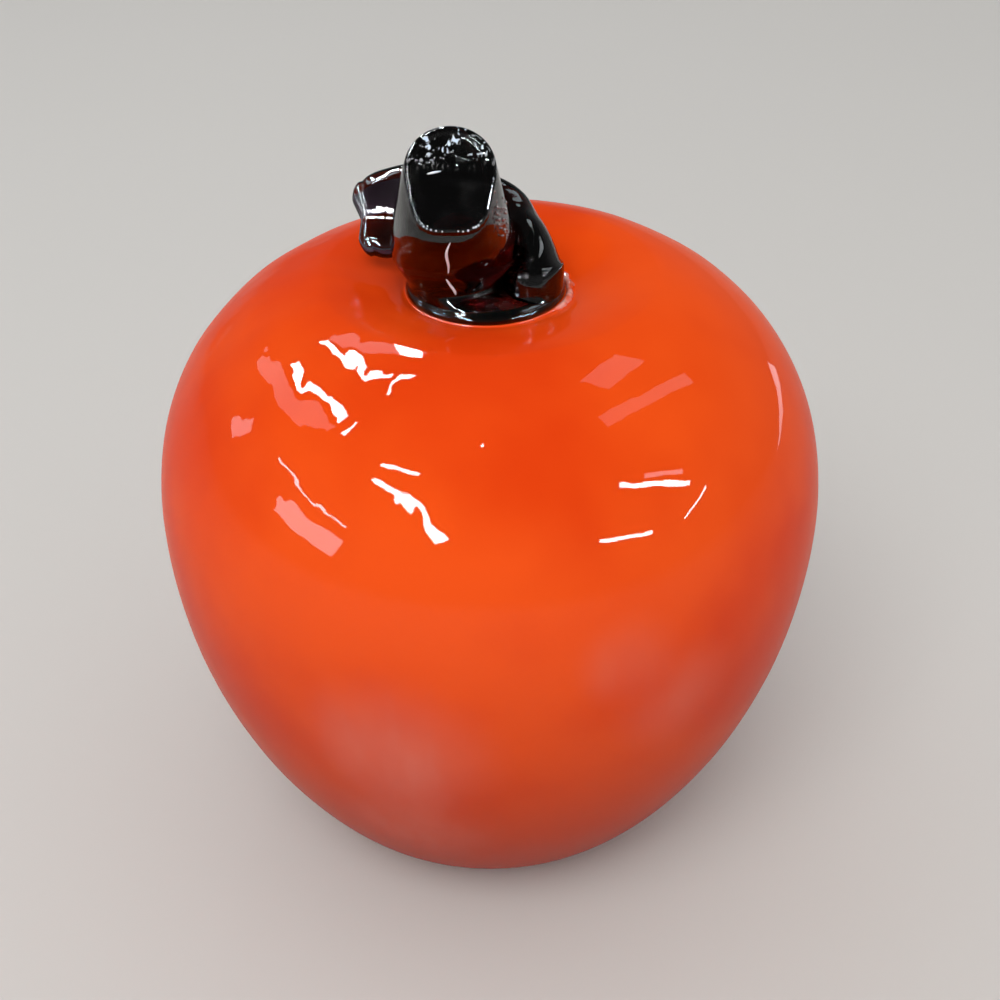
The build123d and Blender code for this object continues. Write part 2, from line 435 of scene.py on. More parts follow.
class BodySizes(bpy.types.PropertyGroup):
    """Sizes and colours of the cased body."""

    radius: in_metres("Radius", "Widest radius of the body", 0.046)
    height: in_metres("Height", "Height of the shoulder", 0.0886)
    widest_height: in_metres("Widest height", "Height of the widest point", 0.0552)
    ring_radius: in_metres("Base ring", "Radius of the ground base ring", 0.0179)
    crest_radius: in_metres("Crest", "Radius where the shoulder is highest", 0.0218)
    dimple_depth: in_metres("Dimple", "Depth of the dimple round the stem", 0.0026)
    seat_radius: in_metres("Seat", "Radius of the flat seat under the stem", 0.0112)
    neck_radius: in_metres("Neck", "Radius of the neck hole", 0.0079)
    wall: in_metres("Casing", "Thickness of the casing", 0.0025)
    floor: in_metres("Floor", "Thickness of the casing's floor", 0.005)
    pontil_radius: in_metres("Pontil dish", "Radius of the polished dish", 0.009)
    pontil_depth: in_metres("Dish depth", "Depth of the dish", 0.0008)
    lump_depth: in_metres("Lumps", "Deepest hollow that the tools left", 0.0008)
    deep_colour: tinted("Deep orange", "Overlay where it is thick", (0.76, 0.050, 0.004))
    bright_colour: tinted("Bright orange", "Overlay where it is even", (0.90, 0.086, 0.008))
    # Painted reflection: colour of the pale patches where the table's glare is mirrored
    painted_glare_colour: tinted("Thin overlay", "Opal showing through", (0.72, 0.22, 0.17))
    # Painted shade: the dark orange that the lower body is darkened to
    base_shade_colour: tinted("Base orange", "Overlay gathered at the base", (0.31, 0.022, 0.004))
    gloss: amount("Gloss", "Strength of the casing's reflections", 0.34)


class LipSizes(bpy.types.PropertyGroup):
    """Sizes and colours of the rolled lip round the foot."""

    bead_radius: in_metres("Bead", "Radius of the thickest beads", 0.0008)
    bead_count: how_many("Beads", "Beads round the foot", 34)
    # Partly painted reflection: clearer glass, with the white that it mirrors painted in
    clear_and_glint_colour: tinted("Clear bead", "Beads with little colour", (0.90, 0.42, 0.36))


class StemSizes(bpy.types.PropertyGroup):
    """Sizes and colours of the stem."""

    foot_radius: in_metres("Foot", "Radius of the foot", 0.0104)
    foot_thickness: in_metres("Foot height", "Thickness of the foot", 0.0014)
    foot_left: in_metres("Foot left", "Foot's place left of centre", 0.0005)
    foot_forward: in_metres("Foot forward", "Foot's place in front of centre", 0.0004)
    neck_left: in_metres("Neck left", "Neck's place left of centre", 0.0048)
    neck_forward: in_metres("Neck forward", "Neck's place in front of the foot's", 0.0009)
    neck_width: in_metres("Neck width", "Width of the neck", 0.0122)
    neck_depth: in_metres("Neck depth", "Depth of the neck", 0.0140)
    width: in_metres("Width", "Widest part of the shank", 0.016)
    depth: in_metres("Depth", "Depth of the shank", 0.0146)
    offset: in_metres("Offset", "Shank's place left of centre", 0.0046)
    forward: in_metres("Forward", "How far the end leans forward", 0.008)
    rise: in_metres("Rise", "Height of the end above the seat", 0.01845)
    end_width: in_metres("End width", "Width of the sheared end", 0.0112)
    end_length: in_metres("End length", "Length of the sheared end", 0.0134)
    tilt: in_degrees("Tilt", "Tilt of the sheared end", 50)
    rounding: in_metres("Rounding", "Rounding of the end's rim", 0.0007)
    plug_length: in_metres("Plug", "Length of the plug in the neck", 0.0072)
    plug_radius: in_metres("Plug radius", "Radius of the plug", 0.00798)
    bubble_radius: in_metres("Seed bubbles", "Largest bubble in the glass", 0.00036)
    bubble_count: how_many("Bubbles", "Seed bubbles in the glass", 60)
    bead_radius: in_metres("Lip beads", "Largest bead on the cut lip", 0.00016)
    bead_count: how_many("Bead count", "Beads on the cut lip", 12)
    core_depth: in_metres("Core depth", "How far the core ends under the rim", 0.0003)
    tint: tinted("Sleeve", "What the outer glass lets through", (0.62, 0.26, 0.18))
    tint_density: amount("Sleeve density", "Darkness of the outer glass", 220.0)
    core_tint: tinted("Core", "What the dark gather lets through", (0.42, 0.0, 0.04))
    core_density: amount("Core density", "Darkness of the dark gather", 310.0)


class LeafSizes(bpy.types.PropertyGroup):
    """Sizes and colours of the leaf."""

    reach: in_metres("Reach", "How far the tip goes to the left", 0.0173)
    rise: in_metres("Rise", "Height of the ribbon above the seat", 0.0098)
    setback: in_metres("Setback", "Ribbon's place behind centre", 0.00568)
    width: in_metres("Width", "Width of the blade", 0.0124)
    thickness: in_metres("Thickness", "Thickness of the blade", 0.0048)
    roll: in_degrees("Roll", "Roll of the blade", 80)
    root_side: in_metres("Root side", "Root's place right of centre", 0.0056)
    root_forward: in_metres("Root forward", "Root's place in front of centre", 0.0014)
    root_width: in_metres("Root width", "Width of the root", 0.0102)
    root_thickness: in_metres("Root thickness", "Thickness of the root", 0.008)
    tip_bulge: in_metres("Tip", "How far the tip bulges", 0.0018)
    tint: tinted("Deep amethyst", "What the leaf's glass lets through", (0.14, 0.0, 0.13))
    tint_density: amount("Density", "Darkness of the leaf's glass", 1500.0)


class StageSizes(bpy.types.PropertyGroup):
    """Camera, floor and lamps."""

    camera_lens: amount("Lens", "Focal length in millimetres", 54.0)
    camera_tilt: in_degrees("Tilt", "Camera's tilt", 55)
    camera_place: FloatVectorProperty(
        name="Camera",
        description="Camera's place",
        default=(0.00139, -0.17686, 0.17583),
        subtype="TRANSLATION",
    )
    sensor_width: amount("Sensor", "Width of the camera's sensor in millimetres", 36.0)
    nearest: in_metres("Nearest", "Where the camera's view starts", 0.01)
    floor_size: in_metres("Floor", "Side of the floor", 6.0)
    floor_colour: tinted("Floor colour", "Pale plain floor", (0.66, 0.65, 0.635))
    lamp_distance: in_metres("Lamps", "Distance of the lamps", 1.0)
    lamp_aim: in_metres("Aim", "Height that the lamps face", 0.075)
    fill: amount("Fill", "Strength of the world's soft light", 0.64)


# Geometry helpers ---


def smooth_step(value, low, high):
    """0 below low, 1 above high, and a smooth rise between them."""
    share = max(0.0, min(1.0, (value - low) / (high - low)))
    return share * share * (3 - 2 * share)


def swell(spot):
    """Smooth noise at a spot, from 0 to 1."""
    return 0.5 + 0.5 * noise.noise(spot)


def drawn(name, index):
    """Repeatable chance from -1 to 1 for one bubble or bead."""
    start, pace = DRAWS[name]
    return noise.noise(Vector([first + index * step for first, step in zip(start, pace)]))


def bezier_run(start, leaving, arriving, end, steps):
    """Points of one Bezier run, without its first point."""
    corners = (start, leaving, arriving, end)
    run = []
    for step in range(1, steps + 1):
        share = step / steps
        back = 1 - share
        weights = (back**3, 3 * back * back * share, 3 * back * share * share, share**3)
        run.append(
            tuple(sum(w * point[axis] for w, point in zip(weights, corners)) for axis in (0, 1))
        )
    return run


def wall_run(body, inset, floor, steps):
    """The body's outline from base ring to neck, drawn in by inset and lifted to floor."""
    radius = body.radius - inset
    top = body.height - inset
    low_end = (body.ring_radius, floor)
    belly = (radius, body.widest_height)
    crest = (body.crest_radius, top)
    seat = (body.seat_radius, top - body.dimple_depth)
    run = [low_end]
    run += bezier_run(
        low_end,
        (body.ring_radius + BASE_HANDLE * (radius - body.ring_radius), floor),
        (radius, body.widest_height - BELLY_LOW_HANDLE * (body.widest_height - floor)),
        belly,
        steps,
    )
    run += bezier_run(
        belly,
        (radius, body.widest_height + BELLY_HIGH_HANDLE * (top - body.widest_height)),
        (body.crest_radius + CREST_HANDLE * (radius - body.crest_radius), top),
        crest,
        steps,
    )
    dimple = body.crest_radius - body.seat_radius
    run += bezier_run(
        crest,
        (body.crest_radius - DIMPLE_HANDLE * dimple, top),
        (
            body.seat_radius + DIMPLE_END_HANDLE * dimple,
            seat[1] + DIMPLE_END_RISE * body.dimple_depth,
        ),
        seat,
        steps // 2,
    )
    for share in SEAT_SHARES:
        run.append((seat[0] + share * (body.neck_radius - seat[0]), seat[1]))
    return run


def seat_height(body):
    """Height of the flat seat that carries the stem."""
    return body.height - body.dimple_depth


def finish_mesh(name, rings, node, material, closed_rows=False):
    """Skin rings of points as a closed piece that replaces a node; one point closes an end."""
    shape = bmesh.new()
    rows = [[shape.verts.new(point) for point in ring] for ring in rings]
    pairs = list(zip(rows, rows[1:]))
    if closed_rows:
        pairs.append((rows[-1], rows[0]))
    for low, high in pairs:
        count = max(len(low), len(high))
        for index in range(count):
            after = (index + 1) % count
            if len(low) == 1:
                corners = (low[0], high[index], high[after])
            elif len(high) == 1:
                corners = (low[index], high[0], low[after])
            else:
                corners = (low[index], high[index], high[after], low[after])
            shape.faces.new(corners)
    bmesh.ops.recalc_face_normals(shape, faces=shape.faces)
    return add_piece(name, shape, node, material)


def fill_smooth(mesh, shape):
    """Move a bmesh into a mesh, shaded smooth."""
    shape.to_mesh(mesh)
    shape.free()
    mesh.polygons.foreach_set("use_smooth", [True] * len(mesh.polygons))


def add_piece(name, shape, node, material):
    mesh = bpy.data.meshes.new(name)
    fill_smooth(mesh, shape)
    mesh.materials.append(material)
    piece = bpy.data.objects.new(name, mesh)
    bpy.context.scene.collection.objects.link(piece)
    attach(piece, "root")
    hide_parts(node)
    return piece


def oval(turns, width, depth, taper=0.0, flat=0.0, groove=0.0):
    """Points of an oval: narrowed at its front, squared off there or pinched at its middle."""
    points = []
    for index in range(turns):
        angle = 2 * pi * index / turns
        across, through = cos(angle), sin(angle)
        if through < 0:
            square = 1 - flat * smooth_step(-through, 0.0, 0.5)
            through = -(abs(through) ** square)
            across = (1 if across >= 0 else -1) * abs(across) ** square
        pinch = 1 - groove * (1 - across**2) ** 2
        narrow = 1 + taper * through
        points.append((width / 2 * across * narrow, depth / 2 * through * pinch))
    return points


def place_ring(points, origin, x_way, z_way):
    """Lay flat points on a plane through origin, as the CAD model's sections are laid."""
    z_way = z_way.normalized()
    x_way = (x_way - z_way * x_way.dot(z_way)).normalized()
    y_way = z_way.cross(x_way)
    return [origin + x_way * x + y_way * y for x, y in points]


def level_ring(turns, width, depth, centre):
    """A level oval round a centre."""
    return place_ring(oval(turns, width, depth), centre, ACROSS, UP)


def spread(keys, per_gap):
    """Values between key rows on a smooth Catmull-Rom run, with per_gap steps in each gap."""
    rows = []
    for index in range(len(keys) - 1):
        before, after = keys[max(index - 1, 0)], keys[min(index + 2, len(keys) - 1)]
        for step in range(per_gap):
            share = step / per_gap
            row = []
            for p0, p1, p2, p3 in zip(before, keys[index], keys[index + 1], after):
                first = (p2 - p0) * share
                second = (2 * p0 - 5 * p1 + 4 * p2 - p3) * share**2
                third = (3 * p1 - p0 - 3 * p2 + p3) * share**3
                row.append(0.5 * (2 * p1 + first + second + third))
            rows.append(tuple(row))
    rows.append(tuple(keys[-1]))
    return rows


# Material helpers ---


def new_material(name, **sockets):
    """A node material, its tree and its Principled shader with the given plain values."""
    material = bpy.data.materials.new(name)
    material.use_nodes = True
    shader = material.node_tree.nodes["Principled BSDF"]
    for key, value in sockets.items():
        shader.inputs[key.replace("_", " ")].default_value = value
    return material, material.node_tree, shader


def feed(tree, node, **sockets):
    """Link outputs to a node's named inputs."""
    for key, output in sockets.items():
        tree.links.new(output, node.inputs[key.replace("_", " ")])


def add_node(tree, kind, **values):
    """A shader node with its own settings and the values of its unlinked inputs."""
    node = tree.nodes.new(kind)
    for key, value in values.items():
        if hasattr(node, key):
            setattr(node, key, value)
        else:
            node.inputs[key.replace("_", " ")].default_value = value
    return node


def object_place(tree):
    """Each point's place in the object's own coordinates, in metres."""
    return add_node(tree, "ShaderNodeTexCoord").outputs["Object"]


def split(tree, place):
    """The side, depth and height outputs of a place."""
    parts = add_node(tree, "ShaderNodeSeparateXYZ")
    feed(tree, parts, Vector=place)
    return parts.outputs["X"], parts.outputs["Y"], parts.outputs["Z"]


def measured(tree, place, operation, point):
    """Distance of a place from a point, or how far it lies along a direction."""
    node = add_node(tree, "ShaderNodeVectorMath", operation=operation)
    tree.links.new(place, node.inputs[0])
    node.inputs[1].default_value = point
    return node.outputs["Value"]


def object_noise(tree, scale, detail, stretch):
    """Noise over the object's own coordinates in metres; returns its value output."""
    mapping = add_node(tree, "ShaderNodeMapping", Scale=stretch)
    feed(tree, mapping, Vector=object_place(tree))
    cloud = add_node(tree, "ShaderNodeTexNoise", Scale=scale, Detail=detail)
    feed(tree, cloud, Vector=mapping.outputs["Vector"])
    return cloud.outputs["Fac"]


def mapped(tree, value, low, high, to_low, to_high):
    """A value carried smoothly from one range to another."""
    node = add_node(
        tree,
        "ShaderNodeMapRange",
        interpolation_type="SMOOTHSTEP",
        From_Min=low,
        From_Max=high,
        To_Min=to_low,
        To_Max=to_high,
    )
    feed(tree, node, Value=value)
    return node.outputs["Result"]


def grain(tree, name):
    """One of the glass's grains, spread out between its own two values."""
    scale, detail, stretch, *ranges = GRAINS[name]
    return mapped(tree, object_noise(tree, scale, detail, stretch), *ranges)


def mixed(tree, share, first, second):
    """Two colours, plain or linked, mixed by a linked share."""
    node = add_node(tree, "ShaderNodeMix", data_type="RGBA")
    feed(tree, node, Factor=share)
    for key, colour in (("A", first), ("B", second)):
        socket = [entry for entry in node.inputs if entry.name == key and entry.type == "RGBA"][0]
        if hasattr(colour, "is_output"):
            tree.links.new(colour, socket)
        else:
            socket.default_value = (*colour, 1.0)
    return [entry for entry in node.outputs if entry.type == "RGBA"][0]


def combined(tree, first, second, operation):
    """Two values added, multiplied or otherwise joined."""
    node = add_node(tree, "ShaderNodeMath", operation=operation)
    for socket, value in zip(node.inputs, (first, second)):
        if isinstance(value, float):
            socket.default_value = value
        else:
            tree.links.new(value, socket)
    return node.outputs["Value"]


def times(tree, first, second):
    """Two values multiplied."""
    return combined(tree, first, second, "MULTIPLY")


def raised(tree, shader, names, share=None, coat=False):
    """Stack named reliefs on a shader's normal; share weakens the tool marks."""
    normal = None
    for name in names:
        scale, detail, stretch, depth = RELIEFS[name]
        height = object_noise(tree, scale, detail, stretch)
        if name == "tool_marks":
            height = times(tree, share, height)
        bump = add_node(tree, "ShaderNodeBump", Strength=1.0, Distance=depth)
        feed(tree, bump, Height=height)
        if normal is not None:
            feed(tree, bump, Normal=normal)
        normal = bump.outputs["Normal"]
    feed(tree, shader, Normal=normal)
    if coat:
        feed(tree, shader, Coat_Normal=normal)


def absorb(tree, colour, density):
    """Let a glass swallow light on its way through."""
    tint = add_node(tree, "ShaderNodeVolumeAbsorption", Color=(*colour, 1.0), Density=density)
    feed(tree, tree.nodes["Material Output"], Volume=tint.outputs["Volume"])


# Materials ---


def cased_orange(body):
    """Clear casing over the orange-red overlay, with painted reflections and painted shade, ground
    under the base.
    """
    material, tree, shader = new_material(
        "cased_orange", Specular_IOR_Level=0.0, Coat_IOR=GLASS_IOR
    )
    place = object_place(tree)
    side, _, level = split(tree, place)
    colour = mixed(tree, grain(tree, "casing_clouds"), body.deep_colour, body.bright_colour)
    # Painted shade: the overlay darkened towards the base
    shade_strength, shade_end = BASE_SHADE
    low = mapped(tree, level, 0.0, shade_end * body.height, shade_strength, 0.0)
    colour = mixed(tree, low, colour, body.base_shade_colour)
    # Painted reflections: pale streaked patches where the table's glare is mirrored
    streaks = grain(tree, "glare_streaks")
    for across, forward, height, reach, strength in GLARE_PATCHES:
        middle = (across * body.radius, forward * body.radius, height * body.height)
        far = measured(tree, place, "DISTANCE", middle)
        soft = mapped(tree, far, 0.0, reach * body.radius, strength, 0.0)
        colour = mixed(tree, times(tree, soft, streaks), colour, body.painted_glare_colour)
    ground = mapped(tree, level, *GROUND_RANGE, 1.0, 0.0)
    colour = mixed(tree, times(tree, ground, GROUND_COVER), colour, GROUND_COLOUR)
    smudges = grain(tree, "casing_smudges")
    dulled = combined(tree, smudges, times(tree, ground, GROUND_DULL), "ADD")
    right, back, drop = PRESSED_PLACE
    pressed = measured(tree, place, "DISTANCE", (right, back, body.height - drop))
    polish = grain(tree, "casing_polish")
    frost = times(tree, ground, grain(tree, "base_scratches"))
    feed(
        tree,
        shader,
        Base_Color=colour,
        Roughness=dulled,
        Coat_Weight=mapped(tree, pressed, *PRESSED_RANGE, 0.0, body.gloss),
        Coat_Roughness=combined(tree, polish, frost, "ADD"),
    )
    start, end, *strengths = MARKS_ACROSS
    left = mapped(tree, side, start * body.radius, end * body.radius, *strengths)
    start, end, *strengths = MARKS_UP
    high = mapped(tree, level, start * body.height, end * body.height, *strengths)
    names = ("casing_swell", "tool_marks", "casing_skin")
    raised(tree, shader, names, share=times(tree, left, high), coat=True)
    return material


def orange_overlay(body):
    """The orange-red layer itself, a little mottled."""
    material, tree, shader = new_material("orange_overlay")
    colour = mixed(tree, grain(tree, "overlay_clouds"), body.deep_colour, body.bright_colour)
    feed(tree, shader, Base_Color=colour, Roughness=grain(tree, "overlay_shine"))
    raised(tree, shader, ("overlay_swell",))
    return material


def opal_bubble():
    """White opal glass with faint swirls."""
    material, tree, shader = new_material("opal_bubble")
    colour = mixed(tree, grain(tree, "opal_swirls"), *OPAL_COLOURS)
    feed(tree, shader, Base_Color=colour, Roughness=grain(tree, "opal_shine"))
    raised(tree, shader, ("opal_swell",))
    return material


def amethyst(name, sizes, skin):
    """Amethyst glass: clear where it is thin, near black where it is thick."""
    material, tree, shader = new_material(
        name,
        Base_Color=(*CLEAR_AMETHYST, 1.0),
        Transmission_Weight=1.0,
        IOR=GLASS_IOR,
        Specular_IOR_Level=AMETHYST_MIRROR,
    )
    feed(tree, shader, Roughness=grain(tree, "amethyst_shine"))
    absorb(tree, sizes.tint, sizes.tint_density)
    raised(tree, shader, ("amethyst_swell", skin))
    return material


def painted_sparkle_end(material, end, face, slope, length):
    """Painted highlights: pale blue-white flecks of sparkle on the upper half of the sheared end,
    where the cold shears left it puckered.
    """
    tree = material.node_tree
    place = object_place(tree)
    deep, shallow = (end.dot(face) + depth for depth in SPARKLE_DEPTHS)
    low, high = (end.dot(slope) + share * length for share in SPARKLE_SLOPES)
    near = mapped(tree, measured(tree, place, "DOT_PRODUCT", face), deep, shallow, 0.0, 1.0)
    upper = mapped(tree, measured(tree, place, "DOT_PRODUCT", slope), low, high, 0.0, 1.0)
    sparkles = times(tree, grain(tree, "shear_sparkles"), grain(tree, "sparkle_patches"))
    sparkles = times(tree, sparkles, times(tree, near, upper))
    feed(
        tree,
        tree.nodes["Principled BSDF"],
        Base_Color=mixed(tree, sparkles, CLEAR_AMETHYST, SPARKLE_COLOUR),
        Transmission_Weight=combined(tree, 1.0, sparkles, "SUBTRACT"),
    )


def amethyst_core(stem):
    """The dark gather inside the stem: it colours the light and bends none of it."""
    material, tree, shader = new_material(
        "stem_core", Transmission_Weight=1.0, IOR=1.0, Roughness=0.0
    )
    feed(tree, shader, Base_Color=mixed(tree, grain(tree, "core_wisps"), *CORE_COLOURS))
    absorb(tree, stem.core_tint, stem.core_density)
    return material


def pale_thread_glass():
    """Pale glass of the threads on the shank: painted highlights."""
    material, tree, shader = new_material("pale_thread_glass")
    shimmer = grain(tree, "highlight_shimmer")
    rough = mapped(tree, shimmer, 0.0, 1.0, *THREAD_ROUGHNESS)
    feed(tree, shader, Base_Color=mixed(tree, shimmer, *HIGHLIGHT_THREAD_COLOURS), Roughness=rough)
    return material


def painted_glint_beads():
    """Beads along the cut lip and its nick, painted pale as glints."""
    material, tree, shader = new_material("painted_glint_beads", Roughness=0.12, Coat_Weight=1.0)
    feed(tree, shader, Base_Color=mixed(tree, grain(tree, "glint_mottle"), *GLINT_BEAD_COLOURS))
    return material


def rolled_lip(body, lip):
    """Orange glass with clearer, pinker beads, the white that they mirror painted into their pink.
    """
    material, tree, shader = new_material("rolled_lip", Coat_Weight=1.0, Coat_Roughness=0.02)
    beads = grain(tree, "lip_beads")
    right = mapped(tree, split(tree, object_place(tree))[0], *PINK_RANGE, 0.0, 1.0)
    colour = mixed(tree, times(tree, beads, right), body.bright_colour, lip.clear_and_glint_colour)
    rough = mapped(tree, beads, 0.0, 1.0, *LIP_ROUGHNESS)
    feed(tree, shader, Base_Color=colour, Roughness=rough)
    raised(tree, shader, ("lip_skin",), coat=True)
    return material


def studio_floor(stage):
    """Plain pale floor, faintly mottled."""
    material, tree, shader = new_material("studio_floor", Roughness=0.85, Specular_IOR_Level=0.2)
    pale = tuple(stage.floor_colour)
    shade = tuple(FLOOR_SHADE * share for share in pale)
    feed(tree, shader, Base_Color=mixed(tree, grain(tree, "floor_mottle"), pale, shade))
    return material


# Pieces ---


def lump(body, angle, radius, height):
    """How far a point of the body is pushed in by the maker's tools, as a share."""
    level = height / body.height
    base = smooth_step(height, *(share * body.height for share in BASE_FADE))
    seat = smooth_step(radius, *(share * body.seat_radius for share in SEAT_FADE))
    if level < SEAT_LEVEL:
        seat = 1.0
    shoulder = smooth_step(level, *SHOULDER_RANGE)
    left = 0.5 - 0.5 * cos(angle)
    spot = Vector((cos(angle) * radius, sin(angle) * radius, height)) / body.radius
    broad = swell(spot * SWELL_WAVES + SWELL_START)
    worked = swell(spot * HOLLOW_WAVES + HOLLOW_START)
    on_shoulder = SHOULDER_SHARE * shoulder * (RIGHT_SHARE + (1 - RIGHT_SHARE) * left)
    share = SWELL_SHARE * broad + (HOLLOW_SHARE + on_shoulder) * worked
    return share * base * seat


class GLASSAPPLE_OT_inner_glass(bpy.types.Operator):
    """Give the hidden orange overlay and the opal bubble their glass"""

    bl_idname = "glassapple.inner_glass"
    bl_label = "Inner glass"

    def execute(self, context):
        overlay = orange_overlay(context.scene.glass_body)
        for node, material in ((OVERLAY_NODE, overlay), (BUBBLE_NODE, opal_bubble())):
            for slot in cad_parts[node].material_slots:
                slot.material = material
        return {"FINISHED"}


class GLASSAPPLE_OT_body(bpy.types.Operator):
    """Blow the cased body: a closed shell with ground ring, pontil dish and gentle lumps"""

    bl_idname = "glassapple.body"
    bl_label = "Body"

    def execute(self, context):
        body = context.scene.glass_body
        outline = self.underside(body) + wall_run(body, 0.0, 0.0, OUTER_STEPS)
        rings = [[UP * body.pontil_depth]]
        for index, (radius, height) in enumerate(outline[1:], start=1):
            before = outline[index - 1]
            after = outline[min(index + 1, len(outline) - 1)]
            run = Vector((after[0] - before[0], after[1] - before[1])).normalized()
            ring = []
            for turn in range(BODY_TURNS):
                angle = 2 * pi * turn / BODY_TURNS
                push = body.lump_depth * lump(body, angle, radius, height)
                far = radius - push * run.y
                ring.append(Vector((far * cos(angle), far * sin(angle), height + push * run.x)))
            rings.append(ring)
        for radius, height in reversed(wall_run(body, body.wall, body.floor, INNER_STEPS)):
            rings.append(level_ring(BODY_TURNS, 2 * radius, 2 * radius, UP * height))
        rings.append([UP * body.floor])
        finish_mesh("cased_body", rings, CASING_NODE, cased_orange(body))
        return {"FINISHED"}

    def underside(self, body):
        """Outline of the pontil dish and the flat base, from the middle out."""
        sphere = (body.pontil_radius**2 + body.pontil_depth**2) / (2 * body.pontil_depth)
        outline = []
        for step in range(DISH_STEPS + 1):
            radius = body.pontil_radius * step / DISH_STEPS
            outline.append((radius, body.pontil_depth - sphere + sqrt(sphere**2 - radius**2)))
        flat = body.ring_radius - body.pontil_radius
        for step in range(1, BASE_STEPS):
            outline.append((body.pontil_radius + flat * step / BASE_STEPS, 0.0))
        return outline


class GLASSAPPLE_OT_lip(bpy.types.Operator):
    """Roll the beaded lip of casing glass round the foot"""

    bl_idname = "glassapple.lip"
    bl_label = "Rolled lip"

    def execute(self, context):
        scene = context.scene
        body, lip, stem = scene.glass_body, scene.glass_lip, scene.glass_stem
        middle = Vector((-stem.foot_left, -stem.foot_forward, seat_height(body)))
        even, from_front, from_right, from_beads = LIP_SIZES
        out, out_right, out_beads = LIP_REACHES
        rings = []
        for turn in range(LIP_TURNS):
            angle = 2 * pi * turn / LIP_TURNS
            way = Vector((cos(angle), sin(angle), 0))
            right = smooth_step(cos(angle - LIP_RIGHT), *LIP_RIGHT_RANGE)
            front = smooth_step(-sin(angle), *LIP_FRONT_RANGE)
            beads = swell(way * lip.bead_count * LIP_WAVES)
            share = even + from_front * front + right * (from_right + from_beads * beads)
            size = lip.bead_radius * share
            reach = lip.bead_radius * (out + right * (out_right + out_beads * beads))
            centre = middle + way * (stem.foot_radius + reach)
            ring = []
            for step in range(LIP_BEAD_TURNS):
                bend = 2 * pi * step / LIP_BEAD_TURNS
                ring.append(centre + way * (size * cos(bend)) + UP * (size * sin(bend)))
            rings.append(ring)
        glass = rolled_lip(body, lip)
        finish_mesh("lip_roll", rings, CASING_NODE, glass, closed_rows=True)
        return {"FINISHED"}


def sheared_end(stem, seat):
    """Middle of the sheared end, the way that it faces, and the way up its slope."""
    end = Vector((-stem.offset, -stem.forward, seat + stem.rise))
    lean = Vector((0, -sin(stem.tilt), cos(stem.tilt)))
    return end, lean, Vector((0, cos(stem.tilt), sin(stem.tilt)))


def foot_rings(stem, seat, shares):
    """Level rings of the foot, given as shares of its radius and thickness."""
    rings = []
    for radius_share, height_share in shares:
        size = 2 * radius_share * stem.foot_radius
        level = seat + height_share * stem.foot_thickness
        centre = Vector((-stem.foot_left, -stem.foot_forward, level))
        rings.append(level_ring(STEM_TURNS, size, size, centre))
    return rings


def flare_rings(stem, seat, shares, size, lift):
    """Level rings that close in from the foot's rim to the neck, sized and lifted by shares."""
    foot = Vector((-stem.foot_left, -stem.foot_forward, 0))
    neck = Vector((-stem.neck_left, -stem.foot_forward - stem.neck_forward, 0))
    rim = 2 * FOOT_RINGS[-1][0] * stem.foot_radius
    rings = []
    for height_share, closed in shares:
        width = size * (rim + closed * (stem.neck_width - rim))
        depth = size * (rim + closed * (stem.neck_depth - rim))
        level = seat + (lift + height_share) * stem.foot_thickness
        centre = foot.lerp(neck, closed) + UP * level
        rings.append(level_ring(STEM_TURNS, width, depth, centre))
    return rings


def shank_keys(stem, seat):
    """Centre, width, depth and tilt of the shank's stations, from neck to sheared rim."""
    neck_level = seat + NECK_RISE * stem.foot_thickness
    neck = (-stem.neck_left, -stem.foot_forward - stem.neck_forward, neck_level)
    keys = [(*neck, stem.neck_width, stem.neck_depth, 0.0)]
    for side, forward, rise, width, depth, tilt in SHANK_STATIONS:
        place = (-side * stem.offset, -forward * stem.forward, seat + rise * stem.rise)
        keys.append((*place, width * stem.width, depth * stem.depth, tilt * stem.tilt))
    end, face, _ = sheared_end(stem, seat)
    keys.append((*(end - face * stem.rounding), stem.end_width, stem.end_length, stem.tilt))
    return keys


def shank_rings(stem, keys):
    """Rings between the shank's stations, tilted, narrowed and squared off on their way up."""
    rings = []
    for x, y, z, width, depth, tilt in spread(keys, SHANK_STEPS):
        share = tilt / stem.tilt
        points = oval(STEM_TURNS, width, depth, END_TAPER * share, END_FLAT * share)
        way = Vector((0, -sin(tilt), cos(tilt)))
        rings.append(place_ring(points, Vector((x, y, z)), ACROSS, way))
    return rings


